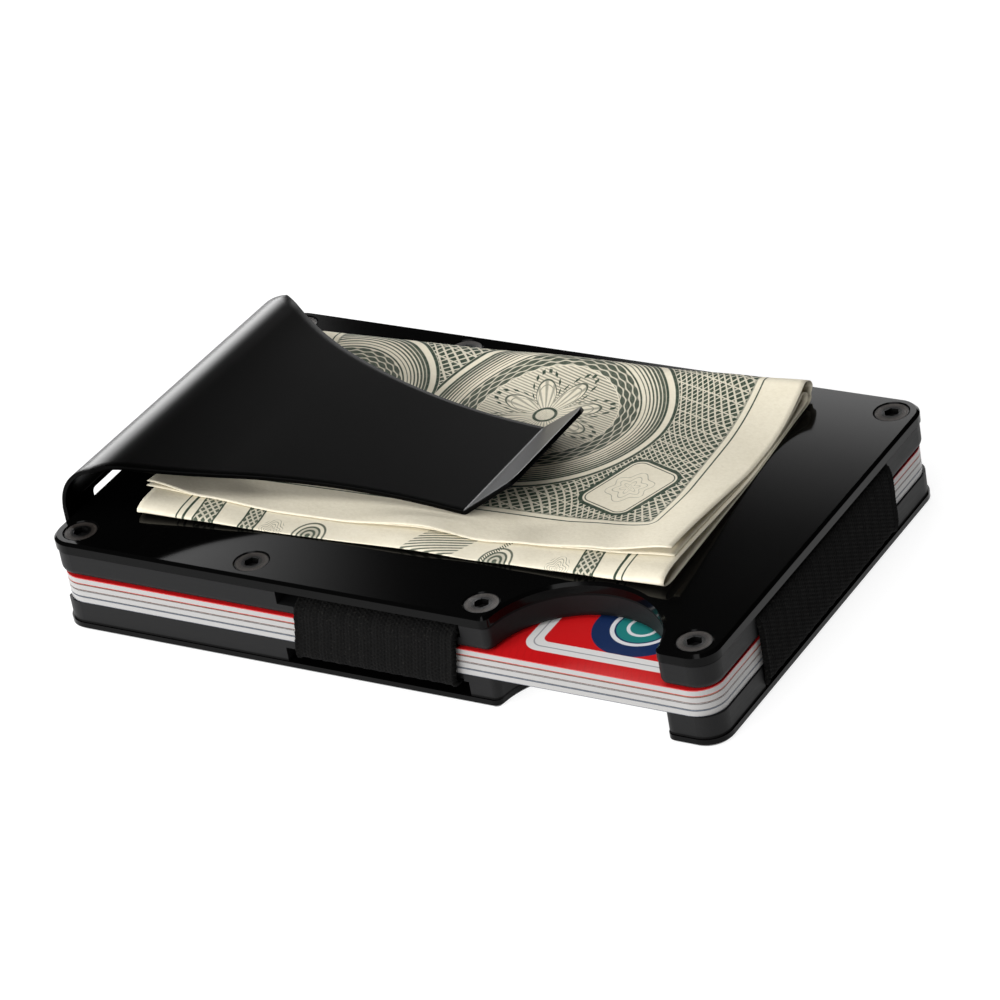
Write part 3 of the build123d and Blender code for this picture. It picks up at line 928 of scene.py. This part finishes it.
def glow_card(name, centre, size, glow):
    """A clear upright card that adds its own light, a smooth field over its face in millimetres.

    It gives the gloss a soft edge to reflect, and neither hides nor shades anything.
    """
    x, y, z = centre
    w, h = size[0] / 2, size[1] / 2
    corners = [(x - w, y, z - h), (x + w, y, z - h), (x + w, y, z + h), (x - w, y, z + h)]
    card = mesh_object(name, corners, [(0, 1, 2, 3)])
    material, tree, shader = new_material(name, Roughness=1.0)
    shader.inputs["Base Color"].default_value = (0, 0, 0, 1)
    shader.inputs["Specular IOR Level"].default_value = 0.0
    shader.inputs["Emission Color"].default_value = (1, 1, 1, 1)
    place = object_place(tree)
    tree.links.new(glow(place[0], place[2]).socket, shader.inputs["Emission Strength"])
    clear = tree.nodes.new("ShaderNodeBsdfTransparent")
    both = tree.nodes.new("ShaderNodeAddShader")
    tree.links.new(shader.outputs[0], both.inputs[0])
    tree.links.new(clear.outputs[0], both.inputs[1])
    tree.links.new(both.outputs[0], tree.nodes["Material Output"].inputs["Surface"])
    card.data.materials.append(material)
    card.visible_camera = False
    card.visible_shadow = False


def make_floor():
    """A pale table that glows a little, as a lit product table does."""
    half = 4.0
    corners = [(-half, -half, 0), (half, -half, 0), (half, half, 0), (-half, half, 0)]
    floor = mesh_object("floor", corners, [(0, 1, 2, 3)])
    material, tree, shader = new_material("floor_pale", Roughness=0.9)
    tone = grain(tree, 8, 2.0)
    colour = mix_colour(tree, tone, (0.26, 0.26, 0.26), (0.29, 0.29, 0.29))
    tree.links.new(colour, shader.inputs["Base Color"])
    shader.inputs["Emission Color"].default_value = (1, 1, 1, 1)
    shader.inputs["Emission Strength"].default_value = 0.84
    shader.inputs["Specular IOR Level"].default_value = 0.0
    floor.data.materials.append(material)


def make_camera():
    """A long lens from the front right, a little rolled."""
    azimuth = math.radians(AZIMUTH)
    elevation = math.radians(ELEVATION)
    level = math.cos(elevation)
    back = Vector((math.sin(azimuth) * level, -math.cos(azimuth) * level, math.sin(elevation)))
    camera = bpy.data.objects.new("camera", bpy.data.cameras.new("camera"))
    camera.data.lens = LENS
    camera.data.sensor_width = 36.0
    camera.data.clip_start = 0.02
    camera.data.clip_end = 20.0
    camera.location = AIM + back * DISTANCE
    camera.rotation_mode = "QUATERNION"
    roll = Quaternion((0, 0, 1), math.radians(ROLL))
    camera.rotation_quaternion = (-back).to_track_quat("-Z", "Y") @ roll
    bpy.context.scene.collection.objects.link(camera)
    bpy.context.scene.camera = camera


def make_lights():
    """A big lamp overhead, two low fills, and two glows behind that the black gloss reflects."""
    world = bpy.data.worlds.new("studio")
    world.use_nodes = True
    world.node_tree.nodes["Background"].inputs["Color"].default_value = (1, 1, 1, 1)
    world.node_tree.nodes["Background"].inputs["Strength"].default_value = 0.015
    bpy.context.scene.world = world
    area_light("overhead", (0.0, -0.25, 1.1), (0, 0, 0), (0.9, 0.9), 7.4)
    area_light("front_fill", (-0.1, -0.95, 0.36), (0, 0, 0), (1.1, 0.4), 11.0)
    area_light("left_fill", (-0.75, -0.55, 0.16), (0, 0, 0.01), (0.5, 0.25), 6.0)
    glow_card("ridge_glow", (-0.58, 0.5, 0.25), (0.40, 0.50), lambda x, z: (
        z.ramp(490.0, 290.0) * x.ramp(-385.0, -500.0) * 12.0))
    glow_card("back_glow", (-0.21, 0.5, 0.28), (0.22, 0.20), lambda x, z: (
        z.ramp(376.0, 306.0) * z.ramp(376.0, 306.0) * x.ramp(-318.0, -262.0) * 7.0))


# ---------------------------------------------------------------- assembly

def wear(obj, material):
    """Gives every face of a piece this material."""
    obj.data.materials.clear()
    obj.data.materials.append(material)


def dress_plates():
    gloss = lacquer_material("plate_lacquer", 0.1, 0.0012, roughness=0.085, spread=0.02)
    satin = inner_plate_material()
    for half in ("lower", "upper"):
        wear(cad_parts[f"{half}_outer_plate"], gloss)
        wear(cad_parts[f"{half}_inner_plate"], satin)


def dress_screws():
    """Screws on one axis share a material, turned about that axis."""
    for number in range(1, 9):
        low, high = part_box(f"upper_screw_{number}")
        centre = (low + high) / 2
        material = screw_material(f"screw_oxide_{number}", centre.x, centre.y)
        wear(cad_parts[f"upper_screw_{number}"], material)
        wear(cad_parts[f"lower_screw_{number}"], material)


def dress_cards():
    white = (0.315, 0.31, 0.305)
    # the second colour of each look is its edge film, darkened as painted shade of the gaps between
    # the cards
    looks = (
        (banded_face((0.10, 0.14, 0.20), (0.25, 0.30, 0.38), 1.3), (0.060, 0.068, 0.085)),
        (banded_face((0.30, 0.30, 0.31), (0.55, 0.55, 0.56), 1.1), (0.10, 0.095, 0.09)),
        (banded_face((0.22, 0.12, 0.08), (0.45, 0.30, 0.20), 1.6), (0.11, 0.045, 0.03)),
        (red_face, (0.40, 0.02, 0.02)),
    )
    for number, (face, film_and_gap_shade_colour) in enumerate(looks, start=1):
        low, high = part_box(f"card_{number}")
        material = card_material(f"card_print_{number}", low, high, face, white, film_and_gap_shade_colour)
        wear(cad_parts[f"card_{number}"], material)


def add_clip():
    """The spine keeps its solid; the leaf bends from the top of the spine."""
    lacquer = lacquer_material("clip_lacquer", 0.04, 0.0003, roughness=0.28, spread=0.03)
    wear(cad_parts["clip_spine"], lacquer)
    leaf = make_clip_leaf()
    wear(leaf, lacquer)
    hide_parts("clip_leaf")
    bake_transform(leaf)


def add_bands():
    """The bands stretch between the two halves."""
    webbing = webbing_material()
    for band, node in ((make_cross_band(), "cross_band"), (make_end_band(), "end_band")):
        wear(band, webbing)
        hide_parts(node)
        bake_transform(band)


def add_note():
    note = make_note()
    wear(note, note_material())
    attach(note, "note")
    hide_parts("banknote")


dress_plates()
dress_screws()
dress_cards()
add_clip()
add_bands()
add_note()
make_floor()
make_lights()
make_camera()
bpy.context.scene.view_settings.view_transform = "Standard"
